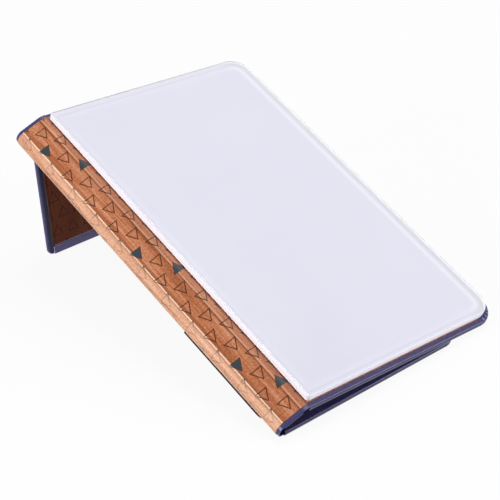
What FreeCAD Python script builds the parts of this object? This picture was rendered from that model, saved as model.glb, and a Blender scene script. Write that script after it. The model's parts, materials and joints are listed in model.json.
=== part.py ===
import FreeCAD, Part
import math
import os
import Sketcher

# Portable glass dry-erase board: a glass pane on a book-style case whose cover is folded right round
# behind the board, with a leg that swings out of the cover to stand it on a table.
# Each panel is modelled flat with its printed lining up, then folded to the standing pose.
# Millimetres and degrees. Board frame: X from the spine to the free side, Y from the near end to the far.

doc = FreeCAD.newDocument("glass_folio_board")
sheet = doc.addObject("Spreadsheet::Sheet", "dims")

sizes = [
    ("glass_width", 127.0, "writing glass, short side"),
    ("glass_length", 203.2, "writing glass, long side"),
    ("glass_thick", 3.0, "writing glass"),
    ("glass_free_corner", 10.0, "glass corner radius on the free side"),
    ("glass_spine_corner", 1.8, "glass corner radius on the spine side"),
    ("glass_edge_round", 0.9, "polished edge of the glass"),
    ("backing_thick", 0.1, "white enamel under the glass"),
    ("tape_thick", 0.4, "adhesive sheet under the glass"),
    ("tape_inset", 2.5, "adhesive sheet set back from the glass edge"),
    ("edge_margin", 3.0, "board beyond the glass on its three free edges"),
    ("spine_margin", 0.4, "board beyond the glass on the spine side"),
    ("board_core_thick", 2.2, "greyboard of the writing board"),
    ("cover_core_thick", 2.2, "greyboard of the cover"),
    ("leg_core_thick", 2.2, "greyboard of the leg"),
    ("spine_core_thick", 1.2, "card of the spine"),
    ("wrap_thick", 0.6, "leatherette"),
    ("liner_thick", 0.3, "printed lining paper"),
    ("turn_in", 8.0, "leatherette turned in under the lining"),
    ("liner_border", 2.2, "leatherette left showing round the lining"),
    ("edge_round", 1.0, "wrapped edges of board, cover and leg"),
    ("spine_edge_round", 0.7, "wrapped ends of the spine"),
    ("board_corner", 13.0, "corner radius of the writing board"),
    ("cover_corner", 7.0, "corner radius of the cover"),
    ("leg_corner", 3.0, "corner radius of the leg's foot"),
    ("front_joint_width", 4.2, "soft strip between board and spine"),
    ("front_fold", 32.0, "bend of the front joint, degrees"),
    ("spine_width", 10.0, "spine across"),
    ("curl_radius", 4.8, "printed outside of the curl behind the spine"),
    ("curl_band_angle", 22.0, "middle band of the curl, degrees"),
    ("cover_width", 111.5, "cover across"),
    ("cover_rest_gap", 0.35, "cover's free edge to the back of the board"),
    ("leg_margin", 7.4, "leg set in from each side of the cover"),
    ("leg_length", 67.0, "leg from its joint to its foot"),
    ("leg_open", 64.5, "leg swung out of the cover, degrees"),
    ("leg_joint_radius", 1.2, "lining inside the bend of the leg joint"),
    ("pocket_near", 11.0, "pocket from the near end of the cover"),
    ("pocket_length", 60.0, "pocket along the cover"),
    ("pocket_free_margin", 12.0, "pocket set in from the cover's free side"),
    ("pocket_overhang", 2.2, "pocket beyond the cover on the spine side"),
    ("pocket_thick", 2.5, "pocket off the lining"),
    ("pocket_sheet", 0.9, "fabric of the pocket"),
    ("pocket_seam", 5.0, "bonded rim of the pocket"),
    ("pocket_corner", 6.0, "rounded bottom corners of the pocket"),
    ("cut_overrun", 1.0, "length by which an open cut runs past its end"),
]
for row, (alias, value, note) in enumerate(sizes, start=1):
    sheet.set("A%d" % row, note)
    sheet.set("B%d" % row, str(value))
    sheet.setAlias("B%d" % row, alias)
doc.recompute()

# sizes that follow from the sheet, as expressions
zero = "0"
case_length = "(dims.glass_length + 2 * dims.edge_margin)"
board_width = "(dims.spine_margin + dims.glass_width + dims.edge_margin)"
leg_width = "(dims.cover_width - 2 * dims.leg_margin)"
soft_thick = "(dims.wrap_thick + dims.liner_thick)"
board_thick = "(dims.board_core_thick + %s)" % soft_thick
cover_thick = "(dims.cover_core_thick + %s)" % soft_thick
leg_thick = "(dims.leg_core_thick + %s)" % soft_thick
glass_bottom = "(dims.tape_thick + dims.backing_thick)"

# the folded section: front joint, spine, curl, then the cover leaning up to the back of the board
joint_middle = "(dims.front_joint_width * 180 / (pi * dims.front_fold))"
joint_radius = "(%s + %s / 2)" % (joint_middle, soft_thick)
curl_drop = "(%s * (1 - cos(dims.front_fold)) + dims.spine_width * sin(dims.front_fold)" % joint_radius
curl_drop += " + dims.curl_radius * cos(dims.front_fold))"
cover_rise = "(%s - %s - dims.cover_rest_gap)" % (curl_drop, board_thick)
cover_step = "(dims.curl_radius - %s)" % cover_thick
cover_reach = "sqrt(dims.cover_width ^ 2 + %s ^ 2)" % cover_step
cover_angle = "((asin(%s / %s) + atan(%s / dims.cover_width)) / (1 deg))"
cover_angle %= (cover_rise, cover_reach, cover_step)
curl_sweep = "(180 + %s - dims.front_fold)" % cover_angle
curl_side_angle = "((%s - dims.curl_band_angle) / 2)" % curl_sweep
leg_bend = "(180 - dims.leg_open)"

x_axis = FreeCAD.Vector(1, 0, 0)
y_axis = FreeCAD.Vector(0, 1, 0)
z_axis = FreeCAD.Vector(0, 0, 1)
same_place = 1e-6
sides = ("left", "right", "near", "far")
corner_names = ("near_left", "near_right", "far_right", "far_left")
nodes = []


def value_of(expression):
    return float(sheet.evalExpression(expression))


def size(alias):
    return value_of("dims." + alias)


def polar(centre, radius, degrees):
    turn = math.radians(degrees)
    return centre[0] + radius * math.cos(turn), centre[1] + radius * math.sin(turn)


def new_body(label):
    body = doc.addObject("PartDesign::Body", label)
    body.Label = label
    return body


# A rectangle whose near left corner is at place, with corner radii from near left, anticlockwise.
def outline(body, name, width, length, place, corners=(zero, zero, zero, zero)):
    sketch = body.newObject("Sketcher::SketchObject", "%s_%s" % (body.Label, name))
    plane = next(f for f in body.Origin.OriginFeatures if f.Role == "XY_Plane")
    sketch.AttachmentSupport = (plane, [""])
    sketch.MapMode = "FlatFace"
    for axis, expression in zip("xyz", place):
        sketch.setExpression("AttachmentOffset.Base." + axis, expression)
    across = value_of(width)
    along = value_of(length)
    radii = [value_of(corner) for corner in corners]
    points = [(0, 0), (across, 0), (across, along), (0, along)]
    ahead = [(1, 0), (0, 1), (-1, 0), (0, -1)]
    for side in range(4):
        following = (side + 1) % 4
        (x1, y1), (x2, y2), (dx, dy) = points[side], points[following], ahead[side]
        start = FreeCAD.Vector(x1 + dx * radii[side], y1 + dy * radii[side], 0)
        end = FreeCAD.Vector(x2 - dx * radii[following], y2 - dy * radii[following], 0)
        sketch.addGeometry(Part.LineSegment(start, end), False)
    for side, kind in enumerate(("Horizontal", "Vertical", "Horizontal", "Vertical")):
        sketch.addConstraint(Sketcher.Constraint(kind, side))
    for corner, radius in enumerate(radii):
        before = (corner + 3) % 4
        if radius == 0:
            sketch.addConstraint(Sketcher.Constraint("Coincident", before, 2, corner, 1))
            continue
        (x, y), (bx, by), (ax, ay) = points[corner], ahead[before], ahead[corner]
        centre = FreeCAD.Vector(x + (ax - bx) * radius, y + (ay - by) * radius, 0)
        turn = math.pi + corner * math.pi / 2
        circle = Part.Circle(centre, z_axis, radius)
        arc = sketch.addGeometry(Part.ArcOfCircle(circle, turn, turn + math.pi / 2), False)
        sketch.addConstraint(Sketcher.Constraint("Tangent", before, 2, arc, 1))
        sketch.addConstraint(Sketcher.Constraint("Tangent", arc, 2, corner, 1))
        bound = sketch.addConstraint(Sketcher.Constraint("Radius", arc, radius))
        sketch.setExpression("Constraints[%d]" % bound, corners[corner])
    sketch.addConstraint(Sketcher.Constraint("PointOnObject", 0, 1, -1))
    sketch.addConstraint(Sketcher.Constraint("PointOnObject", 3, 1, -2))
    bound = sketch.addConstraint(Sketcher.Constraint("DistanceX", -1, 1, 1, 1, across))
    sketch.setExpression("Constraints[%d]" % bound, width)
    bound = sketch.addConstraint(Sketcher.Constraint("DistanceY", -1, 1, 2, 1, along))
    sketch.setExpression("Constraints[%d]" % bound, length)
    return sketch


def raise_from(body, sketch, height):
    pad = body.newObject("PartDesign::Pad", sketch.Name + "_pad")
    pad.Profile = sketch
    pad.setExpression("Length", height)
    doc.recompute()
    return pad


def cut_down(body, sketch, depth):
    before = body.Shape.Volume
    pocket = body.newObject("PartDesign::Pocket", sketch.Name + "_pocket")
    pocket.Profile = sketch
    pocket.setExpression("Length", depth)
    doc.recompute()
    assert body.Shape.Volume < before, "nothing was cut by " + pocket.Name
    return pocket


# Rounds the upper and lower outer edges of a plate, apart from those on its joint sides.
def round_rim(body, base, joint_sides, radius):
    box = base.Shape.BoundBox
    limits = {"left": (0, box.XMin), "right": (0, box.XMax), "near": (1, box.YMin), "far": (1, box.YMax)}
    names = []
    for index, edge in enumerate(base.Shape.Edges, start=1):
        middle = edge.valueAt((edge.FirstParameter + edge.LastParameter) / 2)
        on_joint = any(abs(middle[limits[s][0]] - limits[s][1]) < same_place for s in joint_sides)
        if edge.BoundBox.ZLength < same_place and not on_joint:
            names.append("Edge%d" % index)
    fillet = body.newObject("PartDesign::Fillet", body.Label + "_round")
    fillet.Base = (base, names)
    fillet.setExpression("Radius", radius)
    doc.recompute()
    return fillet


# Width, length and near left corner of a plate that is set back by one inset per side.
def set_back(width, length, insets):
    inner_width = "(%s - %s - %s)" % (width, insets["left"], insets["right"])
    inner_length = "(%s - %s - %s)" % (length, insets["near"], insets["far"])
    return inner_width, inner_length, insets["left"], insets["near"]


# A corner is rounded where neither of its sides is a joint with the next panel.
def corner_radii(rounded, radius):
    return [radius if corner in rounded else zero for corner in corner_names]


# A stiff core wrapped in leatherette, which is turned in on the open sides, under a printed lining.
def make_panel(names, width, length, core, place, joint_sides, rounded, corner, edge):
    core_name, wrap_name, liner_name = names
    wall = {side: "dims.wrap_thick" for side in sides}
    opening = {side: "dims.wrap_thick" if side in joint_sides else "dims.turn_in" for side in sides}
    border = {side: zero if side in joint_sides else "dims.liner_border" for side in sides}
    back = "-(%s + dims.wrap_thick + dims.liner_thick)" % core
    core_bottom = "-(%s + dims.liner_thick)" % core
    lip_bottom = "-(dims.wrap_thick + dims.liner_thick)"
    lip_top = "-dims.liner_thick"
    core_step = "(%s - dims.wrap_thick)" % core
    inner_corner = "(%s - dims.wrap_thick)" % corner
    liner_corner = "(%s - dims.liner_border)" % corner

    wrap = new_body(wrap_name)
    outer = outline(wrap, "outer", width, length, (zero, zero, back), corner_radii(rounded, corner))
    pad = raise_from(wrap, outer, "%s + dims.wrap_thick" % core)
    round_rim(wrap, pad, joint_sides, edge)
    inner_width, inner_length, x, y = set_back(width, length, wall)
    inner_corners = corner_radii(rounded, inner_corner)
    cavity = outline(wrap, "cavity", inner_width, inner_length, (x, y, lip_bottom), inner_corners)
    cut_down(wrap, cavity, core_step)
    open_width, open_length, open_x, open_y = set_back(width, length, opening)
    mouth = outline(wrap, "opening", open_width, open_length, (open_x, open_y, lip_top))
    cut_down(wrap, mouth, "dims.wrap_thick")
    nodes.append((wrap, place))

    board = new_body(core_name)
    base = outline(board, "base", inner_width, inner_length, (x, y, core_bottom), inner_corners)
    raise_from(board, base, core_step)
    step = outline(board, "step", open_width, open_length, (open_x, open_y, lip_bottom))
    raise_from(board, step, "dims.wrap_thick")
    nodes.append((board, place))

    liner = new_body(liner_name)
    liner_width, liner_length, x, y = set_back(width, length, border)
    liner_corners = corner_radii(rounded, liner_corner)
    paper = outline(liner, "sheet", liner_width, liner_length, (x, y, lip_top), liner_corners)
    raise_from(liner, paper, "dims.liner_thick")
    nodes.append((liner, place))


# A soft bend: part of a tube about its own Z axis, from the angle that its placement gives.
def make_bend(label, outer, inner, height, angle, place):
    tubes = []
    for name, radius in (("outer", outer), ("inner", inner)):
        tube = doc.addObject("Part::Cylinder", "%s_%s" % (label, name))
        tube.setExpression("Radius", radius)
        tube.setExpression("Height", height)
        tube.setExpression("Angle", angle)
        tubes.append(tube)
    bend = doc.addObject("Part::Cut", label)
    bend.Label = label
    bend.Base, bend.Tool = tubes
    doc.recompute()
    nodes.append((bend, place))


# where the folds lie in the board frame, in the X and Z of the folded section
near_y = -size("edge_margin")
far_y = near_y + value_of(case_length)
fold = size("front_fold")
lean = value_of(cover_angle)
first_angle = 90 + fold
joint_centre = (-size("spine_margin"), -value_of(joint_radius))
crease = polar(joint_centre, value_of(joint_radius), first_angle)
ridge = polar(crease, size("spine_width"), 180 + fold)
curl_centre = polar(ridge, -size("curl_radius"), first_angle)
cover_start = polar(curl_centre, size("curl_radius"), 270 + lean)
cover_end = polar(cover_start, size("cover_width"), lean)
bend = value_of(leg_bend)

board_place = FreeCAD.Placement(FreeCAD.Vector(-size("spine_margin"), near_y, 0), FreeCAD.Rotation())
spine_place = FreeCAD.Placement(FreeCAD.Vector(ridge[0], near_y, ridge[1]), FreeCAD.Rotation(y_axis, -fold))
cover_turn = FreeCAD.Rotation(y_axis, 180 - lean)
cover_place = FreeCAD.Placement(FreeCAD.Vector(cover_end[0], near_y, cover_end[1]), cover_turn)

# the leg hangs from the far end of the cover, in the Y and Z of the cover's own frame
leg_centre = (value_of(case_length), size("leg_joint_radius"))
leg_start = polar(leg_centre, size("leg_joint_radius"), bend - 90)
leg_turn = FreeCAD.Rotation(x_axis, bend)
leg_offset = FreeCAD.Vector(size("leg_margin"), leg_start[0], leg_start[1])
leg_place = cover_place * FreeCAD.Placement(leg_offset, leg_turn)


# A bend along the spine starts at the far end and turns about the board's Y.
def spine_bend_place(centre, start_angle, inset):
    turn = FreeCAD.Rotation(x_axis, 90) * FreeCAD.Rotation(z_axis, start_angle)
    return FreeCAD.Placement(FreeCAD.Vector(centre[0], far_y - inset, centre[1]), turn)


# writing glass with its enamel and adhesive
def make_glass():
    free, spine = "dims.glass_free_corner", "dims.glass_spine_corner"
    glass = new_body("glass_pane")
    place = ("dims.spine_margin", "dims.edge_margin", glass_bottom)
    pane = outline(glass, "pane", "dims.glass_width", "dims.glass_length", place, (spine, free, free, spine))
    pad = raise_from(glass, pane, "dims.glass_thick")
    round_rim(glass, pad, (), "dims.glass_edge_round")
    nodes.append((glass, board_place))
    for label, inset, bottom, thick in (
        ("glass_backing", "dims.glass_edge_round", "dims.tape_thick", "dims.backing_thick"),
        ("mounting_tape", "dims.tape_inset", zero, "dims.tape_thick"),
    ):
        layer = new_body(label)
        width, length, x, y = set_back("dims.glass_width", "dims.glass_length", dict.fromkeys(sides, inset))
        place = ("%s + dims.spine_margin" % x, "%s + dims.edge_margin" % y, bottom)
        radius = "max(%s - %s; 0)" % (free, inset)
        raise_from(layer, outline(layer, "sheet", width, length, place, (zero, radius, radius, zero)), thick)
        nodes.append((layer, board_place))


# fabric pocket on the cover's lining: bonded on three sides, open at the far end
def make_pocket():
    pocket = new_body("pocket")
    width = "(dims.cover_width - dims.pocket_free_margin + dims.pocket_overhang)"
    corner = "dims.pocket_corner"
    place = ("dims.pocket_free_margin", "dims.pocket_near", zero)
    front = outline(pocket, "front", width, "dims.pocket_length", place, (corner, corner, zero, zero))
    raise_from(pocket, front, "dims.pocket_thick")
    depth = "(dims.pocket_thick - dims.pocket_sheet)"
    inner_width = "(%s - 2 * dims.pocket_seam)" % width
    inner_length = "(dims.pocket_length - dims.pocket_seam + dims.cut_overrun)"
    place = ("dims.pocket_free_margin + dims.pocket_seam", "dims.pocket_near + dims.pocket_seam", depth)
    cut_down(pocket, outline(pocket, "inside", inner_width, inner_length, place), depth)
    nodes.append((pocket, cover_place))


# a skin of leatherette and its lining bent along the spine, with the lining on the outside of the bend;
# the skin ends where the panels' edges start to round, so that it stays off the table
def make_spine_bend(name, radius, centre, start_angle, angle):
    middle = "(%s - dims.liner_thick)" % radius
    inner = "(%s - dims.wrap_thick)" % middle
    skin_length = "(%s - 2 * dims.edge_round)" % case_length
    liner_length = "(%s - 2 * dims.liner_border)" % case_length
    place = spine_bend_place(centre, start_angle, size("edge_round"))
    make_bend(name + "_skin", middle, inner, skin_length, angle, place)
    place = spine_bend_place(centre, start_angle, size("liner_border"))
    make_bend(name + "_liner", radius, middle, liner_length, angle, place)


# the leg's joint, with the lining on the inside of the bend
def make_leg_joint():
    middle = "(dims.leg_joint_radius + dims.liner_thick)"
    outer = "(%s + dims.wrap_thick)" % middle
    liner_width = "(%s - 2 * dims.liner_border)" % leg_width
    turn = FreeCAD.Rotation(x_axis + y_axis + z_axis, 120) * FreeCAD.Rotation(z_axis, -90)
    offset = FreeCAD.Vector(size("leg_margin"), leg_centre[0], leg_centre[1])
    place = cover_place * FreeCAD.Placement(offset, turn)
    make_bend("leg_joint_skin", outer, middle, leg_width, leg_bend, place)
    offset += x_axis * size("liner_border")
    place = cover_place * FreeCAD.Placement(offset, turn)
    make_bend("leg_joint_liner", middle, "dims.leg_joint_radius", liner_width, leg_bend, place)


make_glass()
make_panel(("board_core", "board_wrap", "board_liner"), board_width, case_length, "dims.board_core_thick",
           board_place, ("left",), ("near_right", "far_right"), "dims.board_corner", "dims.edge_round")
make_spine_bend("front_joint", joint_radius, joint_centre, 90, "dims.front_fold")
make_panel(("spine_card", "spine_wrap", "spine_liner"), "dims.spine_width", case_length,
           "dims.spine_core_thick", spine_place, ("left", "right"), (), zero, "dims.spine_edge_round")
curl_angle = first_angle
for name, angle in (("upper_curl", curl_side_angle), ("middle_curl", "dims.curl_band_angle"),
                    ("lower_curl", curl_side_angle)):
    make_spine_bend(name, "dims.curl_radius", curl_centre, curl_angle, angle)
    curl_angle += value_of(angle)
make_panel(("cover_core", "cover_wrap", "cover_liner"), "dims.cover_width", case_length,
           "dims.cover_core_thick", cover_place, ("right", "far"), ("near_left", "far_left"),
           "dims.cover_corner", "dims.edge_round")
make_pocket()
make_leg_joint()
make_panel(("leg_core", "leg_wrap", "leg_liner"), leg_width, "dims.leg_length", "dims.leg_core_thick",
           leg_place, ("near",), ("far_right", "far_left"), "dims.leg_corner", "dims.edge_round")

# The case stands on the rounded near edge of the cover and on the foot of the leg: the line through the
# centres of those two rounds, in the cover's frame, gives the tilt.
edge_round = size("edge_round")
near_round = FreeCAD.Vector(0, edge_round, -size("liner_thick") - edge_round)
foot_round = FreeCAD.Vector(0, size("leg_length") - edge_round, edge_round - value_of(leg_thick))
foot_round = FreeCAD.Placement(leg_offset, leg_turn).multVec(foot_round)
tilt = math.degrees(math.atan2(foot_round.z - near_round.z, foot_round.y - near_round.y))
stand = FreeCAD.Rotation(x_axis, tilt) * FreeCAD.Rotation(y_axis, lean)


def put_on_table(base):
    table = FreeCAD.Placement(base, stand)
    for node, place in nodes:
        node.Placement = table * place
    doc.recompute()
    return table


# the origin is under the middle of the whole object, on the table
put_on_table(FreeCAD.Vector(0, 0, 0))
box = Part.makeCompound([node.Shape for node, place in nodes]).optimalBoundingBox(False)
table = put_on_table(FreeCAD.Vector(-box.Center.x, -box.Center.y, -box.ZMin))

for item in doc.Objects:
    assert not {"Invalid", "Error"} & set(item.State), "failed: " + item.Name
for node, place in nodes:
    assert not node.Shape.isNull() and node.Shape.isValid(), "bad shape: " + node.Label
    assert len(node.Shape.Solids) == 1, "not one solid: " + node.Label

os.makedirs("parts", exist_ok=True)
for node, place in nodes:
    node.Shape.exportStep("parts/%s.step" % node.Label)


# A soft joint turns as if about a point on the middle of its bend, set out along the bisector so that the
# sheet neither stretches nor shortens.
def bend_axis(centre, middle_radius, start_angle, angle):
    half = math.radians(angle / 2)
    return polar(centre, middle_radius * half / math.sin(half), start_angle + angle / 2)


def report(name, place, point):
    print(name, [round(value, 4) for value in (table * place).multVec(point)])


half_soft = value_of(soft_thick) / 2
side_angle = value_of(curl_side_angle)
curl_middle = size("curl_radius") - half_soft
flat = FreeCAD.Placement()
for name, point in (
    ("front fold", bend_axis(joint_centre, value_of(joint_middle), 90, fold)),
    ("upper curl", bend_axis(curl_centre, curl_middle, first_angle, side_angle)),
    ("lower curl", bend_axis(curl_centre, curl_middle, 270 + lean - side_angle, side_angle)),
):
    report(name, flat, FreeCAD.Vector(point[0], (near_y + far_y) / 2, point[1]))
leg_axis = bend_axis(leg_centre, size("leg_joint_radius") + half_soft, -90, bend)
report("leg", cover_place, FreeCAD.Vector(size("cover_width") / 2, leg_axis[0], leg_axis[1]))
glass_top = value_of(glass_bottom) + size("glass_thick")
report("glass middle", flat, FreeCAD.Vector(size("glass_width") / 2, size("glass_length") / 2, glass_top))
print("spine direction", [round(value, 6) for value in stand.multVec(y_axis)])
print("glass normal", [round(value, 6) for value in stand.multVec(z_axis)])
print("fold", fold, "curl side", round(side_angle, 4), "lean", round(lean, 4), "tilt", round(tilt, 4))
print("board frame origin", [round(value, 4) for value in table.Base])
box = Part.makeCompound([node.Shape for node, place in nodes]).optimalBoundingBox(False)
print("size", [round(value, 3) for value in (box.XLength, box.YLength, box.ZLength)])
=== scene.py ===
import json
import math

import bmesh
import bpy
from mathutils import Matrix, Vector


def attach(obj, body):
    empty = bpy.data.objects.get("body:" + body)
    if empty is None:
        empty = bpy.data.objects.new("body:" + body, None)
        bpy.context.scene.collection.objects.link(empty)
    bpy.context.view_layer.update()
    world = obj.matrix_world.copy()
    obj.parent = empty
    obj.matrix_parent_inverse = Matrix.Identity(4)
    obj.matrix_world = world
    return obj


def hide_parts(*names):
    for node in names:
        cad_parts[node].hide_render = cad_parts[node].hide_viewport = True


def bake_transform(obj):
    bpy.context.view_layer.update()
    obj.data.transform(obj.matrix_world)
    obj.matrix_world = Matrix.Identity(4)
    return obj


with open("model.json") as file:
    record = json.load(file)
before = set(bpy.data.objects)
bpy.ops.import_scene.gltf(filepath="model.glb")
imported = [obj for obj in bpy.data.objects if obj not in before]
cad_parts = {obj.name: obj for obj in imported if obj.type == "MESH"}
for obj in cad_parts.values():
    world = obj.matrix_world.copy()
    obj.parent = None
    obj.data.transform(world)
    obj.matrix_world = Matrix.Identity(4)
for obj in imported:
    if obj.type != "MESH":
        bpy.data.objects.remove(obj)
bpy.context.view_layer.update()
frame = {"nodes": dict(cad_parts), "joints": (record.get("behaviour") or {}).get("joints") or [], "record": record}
nodes = frame["nodes"]
record = frame["record"]
joints = {joint["name"]: joint for joint in frame["joints"]}
mm = 0.001
touch = 0.001    # mm, for picking edges by their place
uvUnit = 100.0   # mm to one unit of a UV map
print("frame loaded:", len(nodes), "nodes")

# the folded case, in millimetres and degrees, as it stands on the table
case = {
    "glass": (127.0, 203.2, 3.0),
    "glassTop": 3.5,          # above the lining of the board
    "endMargin": 3.0,         # board beyond the glass at its ends and free side
    "spineMargin": 0.4,
    "panel": 3.1,             # thickness of the board, cover and leg
    "restGap": 0.35,          # between the cover's free edge and the board above it
    "wrap": 0.6,
    "liner": 0.3,
    "border": 2.2,            # leatherette showing round the lining
    "boardBorder": 2.65,
    "legBorder": 2.8,
    "legFootBorder": 4.7,
    "boardCorner": 13.0,
    "boardLiningCorner": 13.5,
    "coverCorner": 7.0,
    "legLiningCorner": 1.0,
    "jointWidth": 4.2,
    "fold": 32.0,
    "spineWidth": 10.0,
    "curlRadius": 4.8,
    "bandAngle": 22.0,
    "coverWidth": 111.5,
    "legMargin": 7.4,
    "legLength": 67.0,
    "legOpen": 64.5,
    "legJointRadius": 1.2,
}


def polar(centre, radius, degrees):
    turn = math.radians(degrees)
    return centre[0] + radius * math.cos(turn), centre[1] + radius * math.sin(turn)


# the same section as the solids: soft joint, spine, curl and the cover leaning up behind the board
soft = case["wrap"] + case["liner"]
fold = case["fold"]
jointRadius = case["jointWidth"] / math.radians(fold) + soft / 2
curlRadius = case["curlRadius"]
jointCentre = (-case["spineMargin"], -jointRadius)
crease = polar(jointCentre, jointRadius, 90 + fold)
ridge = polar(crease, case["spineWidth"], 180 + fold)
curlCentre = polar(ridge, -curlRadius, 90 + fold)
rise = -case["panel"] - case["restGap"] - curlCentre[1]
step = curlRadius - case["panel"]
reach = math.hypot(case["coverWidth"], step)
lean = math.degrees(math.asin(rise / reach) + math.atan(step / case["coverWidth"]))
curlSweep = 180 + lean - fold
curlSide = (curlSweep - case["bandAngle"]) / 2
coverStart = polar(curlCentre, curlRadius, 270 + lean)
coverEnd = polar(coverStart, case["coverWidth"], lean)
caseLength = case["glass"][1] + 2 * case["endMargin"]
nearY = -case["endMargin"]
legBend = 180 - case["legOpen"]
legCentre = (caseLength, case["legJointRadius"])
legStart = polar(legCentre, case["legJointRadius"], legBend - 90)

# where the printed sheet lies when it is unrolled, measured from the board's edge
jointDeveloped = jointRadius * math.radians(fold)
ridgeDeveloped = jointDeveloped + case["spineWidth"]
coverDeveloped = ridgeDeveloped + curlRadius * math.radians(curlSweep)
legDeveloped = case["legJointRadius"] * math.radians(legBend)
footDeveloped = caseLength + nearY + legDeveloped + case["legLength"] - case["legFootBorder"]


def at(x, y, z):
    return Matrix.Translation(Vector((x, y, z)) * mm)


def turned(degrees, axis):
    return Matrix.Rotation(math.radians(degrees), 4, axis)


# the board's own frame comes from the glass and the front fold; panels are modelled flat and then placed
glassFace = next(mount for mount in record["mounts"] if mount["name"] == "writing_face")
boardZ = Vector(glassFace["axis"]).normalized()
boardY = Vector(joints["front_fold"]["axis"]).normalized()
boardX = boardY.cross(boardZ)
toGlassMiddle = Vector((case["glass"][0] / 2, case["glass"][1] / 2, case["glassTop"])) * mm
boardTurn = Matrix((boardX, boardY, boardZ)).transposed()
boardMatrix = Matrix.Translation(Vector(glassFace["pos_m"]) - boardTurn @ toGlassMiddle) @ boardTurn.to_4x4()
spineMatrix = boardMatrix @ at(ridge[0], nearY, ridge[1]) @ turned(-fold, "Y")
coverMatrix = boardMatrix @ at(coverEnd[0], nearY, coverEnd[1]) @ turned(180 - lean, "Y")
legMatrix = coverMatrix @ at(case["legMargin"], *legStart) @ turned(legBend, "X")


# modelling helpers
def choose(piece):
    bpy.ops.object.select_all(action="DESELECT")
    bpy.context.view_layer.objects.active = piece
    piece.select_set(True)


def addBlock(name, low, high):
    bpy.ops.object.select_all(action="DESELECT")
    bpy.ops.mesh.primitive_cube_add(size=1)
    piece = bpy.context.object
    piece.name = name
    piece.data.name = name
    piece.scale = [(b - a) * mm for a, b in zip(low, high)]
    piece.location = [(a + b) / 2 * mm for a, b in zip(low, high)]
    bpy.ops.object.transform_apply(location=True, rotation=True, scale=True)
    return piece


def bevelEdges(piece, test, width, segments):
    choose(piece)
    bpy.ops.object.mode_set(mode="EDIT")
    bpy.ops.mesh.select_mode(type="EDGE")
    bpy.ops.mesh.select_all(action="DESELECT")
    mesh = bmesh.from_edit_mesh(piece.data)
    for edge in mesh.edges:
        a, b = (vertex.co / mm for vertex in edge.verts)
        edge.select_set(test(a, b))
    bmesh.update_edit_mesh(piece.data)
    bpy.ops.mesh.bevel(offset=width * mm, segments=segments, affect="EDGES", profile=0.5)
    bpy.ops.object.mode_set(mode="OBJECT")


def upright(a, b):
    return abs(a.x - b.x) < touch and abs(a.y - b.y) < touch


def settle(piece, matrix, smoothAngle=35):
    choose(piece)
    piece.matrix_world = matrix
    bpy.ops.object.transform_apply(location=True, rotation=True, scale=True)
    bpy.ops.object.shade_smooth_by_angle(angle=math.radians(smoothAngle))


# UV maps: the place on the unrolled lining, so that the print runs on from piece to piece, and the place
# on the flat pane
def layOut(piece, name, place):
    layer = piece.data.uv_layers.new(name=name)
    for loop in piece.data.loops:
        across, along = place(piece.data.vertices[loop.vertex_index].co / mm)
        layer.data[loop.index].uv = (across / uvUnit, along / uvUnit)


# writing glass and the enamel on its back
pane = {
    "freeCorner": 10.0, "spineCorner": 1.8, "topEdge": 0.8, "bottomEdge": 0.35,
    "enamelInset": 0.06, "enamelInto": 0.12, "enamelThick": 0.25,
    "tint": "#FBFCFE", "faceRoughness": 0.1, "edgeRoughness": 0.42,
    "grit": 0.5, "groundRoughness": 0.4,
    "ground": ("#D2D2D9", "#DEDEE4"), "groundBelow": 0.9,             # at the far and free sides
    # beside the spine, a paler painted-lit copy of the ground edge
    "spineGroundPaintedLit": ("#DEDAE2", "#EAE6EE"), "spineGroundBelow": 0.3,
}


# materials
def toLinear(code):
    channels = [int(code[i:i + 2], 16) / 255 for i in (1, 3, 5)]
    return [c / 12.92 if c <= 0.04045 else ((c + 0.055) / 1.055) ** 2.4 for c in channels] + [1.0]


def addNode(tree, kind, inputs=(), **settings):
    node = tree.nodes.new("ShaderNode" + kind)
    for name, value in settings.items():
        setattr(node, name, value)
    for key, value in inputs.items() if isinstance(inputs, dict) else enumerate(inputs):
        if isinstance(value, bpy.types.Node):
            value = value.outputs[0]
        if isinstance(value, bpy.types.NodeSocket):
            tree.links.new(value, node.inputs[key])
        else:
            node.inputs[key].default_value = value
    return node


def newMaterial(name):
    material = bpy.data.materials.new(name)
    material.use_nodes = True
    tree = material.node_tree
    return material, tree, tree.nodes["Principled BSDF"]


# lamps and bounced light reach the enamel straight through the glass
def letLightThrough(tree, shader):
    path = addNode(tree, "LightPath")
    through = addNode(tree, "Math", (path.outputs["Is Shadow Ray"], path.outputs["Is Diffuse Ray"]),
                      operation="MAXIMUM")
    both = addNode(tree, "MixShader", (through, shader, addNode(tree, "BsdfTransparent")))
    tree.links.new(both.outputs[0], tree.nodes["Material Output"].inputs["Surface"])


# Tempered float glass: clear, with reflections a little softened, which is chosen for its look. The polished
# edge is softer still and bends the view into bright bands.
def makeGlass(name, roughness):
    material, tree, shader = newMaterial(name)
    shader.inputs["Base Color"].default_value = toLinear(pane["tint"])
    shader.inputs["Roughness"].default_value = roughness
    shader.inputs["IOR"].default_value = 1.52
    shader.inputs["Transmission Weight"].default_value = 1.0
    letLightThrough(tree, shader)
    return material


# Ground edge of the same glass: fine and matt. It comes in two copies: a greyer one at the far and free sides,
# painted shade for the thin grey line seen through the pane there, and a paler painted-lit copy beside the spine
# for the white band there.
def makeGroundEdge(name, dark, pale):
    material, tree, shader = newMaterial(name)
    place = addNode(tree, "TexCoord").outputs["Object"]
    ground = addNode(tree, "TexNoise", {"Vector": place, "Scale": 1 / (pane["grit"] * mm), "Detail": 2.0})
    colour = addNode(tree, "Mix", {0: ground, 6: toLinear(dark), 7: toLinear(pale)}, data_type="RGBA")
    tree.links.new(colour.outputs[2], shader.inputs["Base Color"])
    shader.inputs["Roughness"].default_value = pane["groundRoughness"]
    letLightThrough(tree, shader)
    return material
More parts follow.
